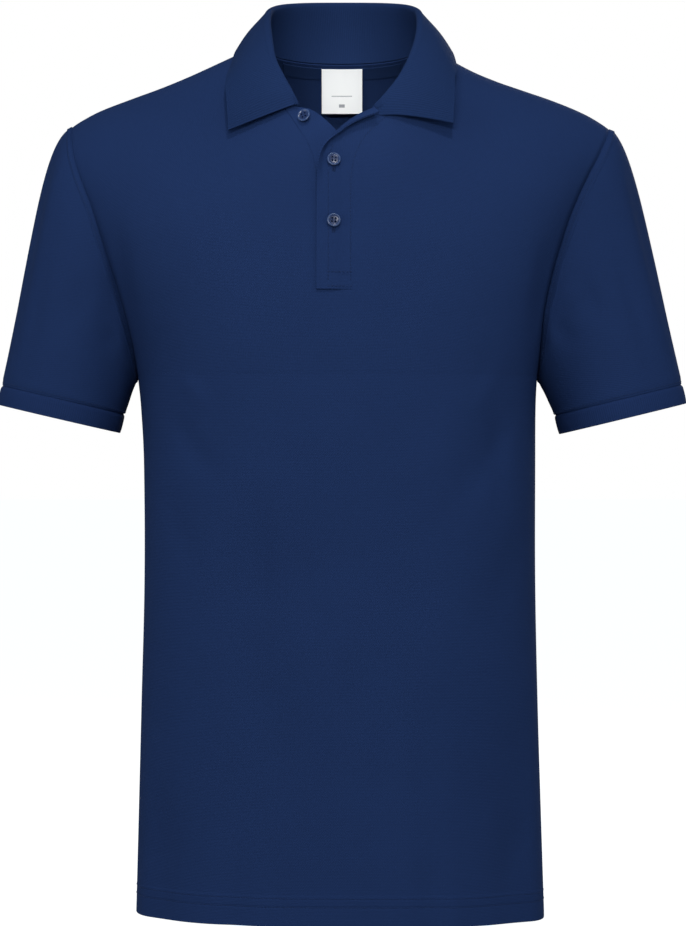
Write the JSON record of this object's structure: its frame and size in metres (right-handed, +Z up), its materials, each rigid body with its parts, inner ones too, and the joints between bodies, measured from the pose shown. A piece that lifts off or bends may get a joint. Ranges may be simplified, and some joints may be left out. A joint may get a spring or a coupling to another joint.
{
  "type": "polo shirt",
  "caption": "Short-sleeved polo shirt in worn hollow form: ribbed collar with leaf points, buttoned placket with the top button open, set-in sleeves with ribbed cuffs, straight hem.",
  "frame": {"origin": "midway between the high points of the two shoulders, at the base of the neck, where the wearer carries the shirt", "axes": "+Z up along the body, +Y from the front to the back, +X from the side at the picture's left to the side at its right"},
  "size_m": [0.586, 0.2524, 0.7859],
  "materials": {
    "pique": "navy cotton pique knit, matt",
    "rib": "navy flat-knitted rib, matt",
    "tape": "navy woven tape, matt",
    "label": "white woven label, satin",
    "button": "navy resin, glossy"
  },
  "bodies": {
    "root": {"front": "pique", "back": "pique", "sleeve_left": "pique", "sleeve_right": "pique", "placket_top": "pique", "placket_under": "pique", "collar": "rib", "cuff_left": "rib", "cuff_right": "rib", "neck_tape": "tape", "label": "label", "button_top": "button", "button_middle": "button", "button_bottom": "button"}
  },
  "joints": []
}
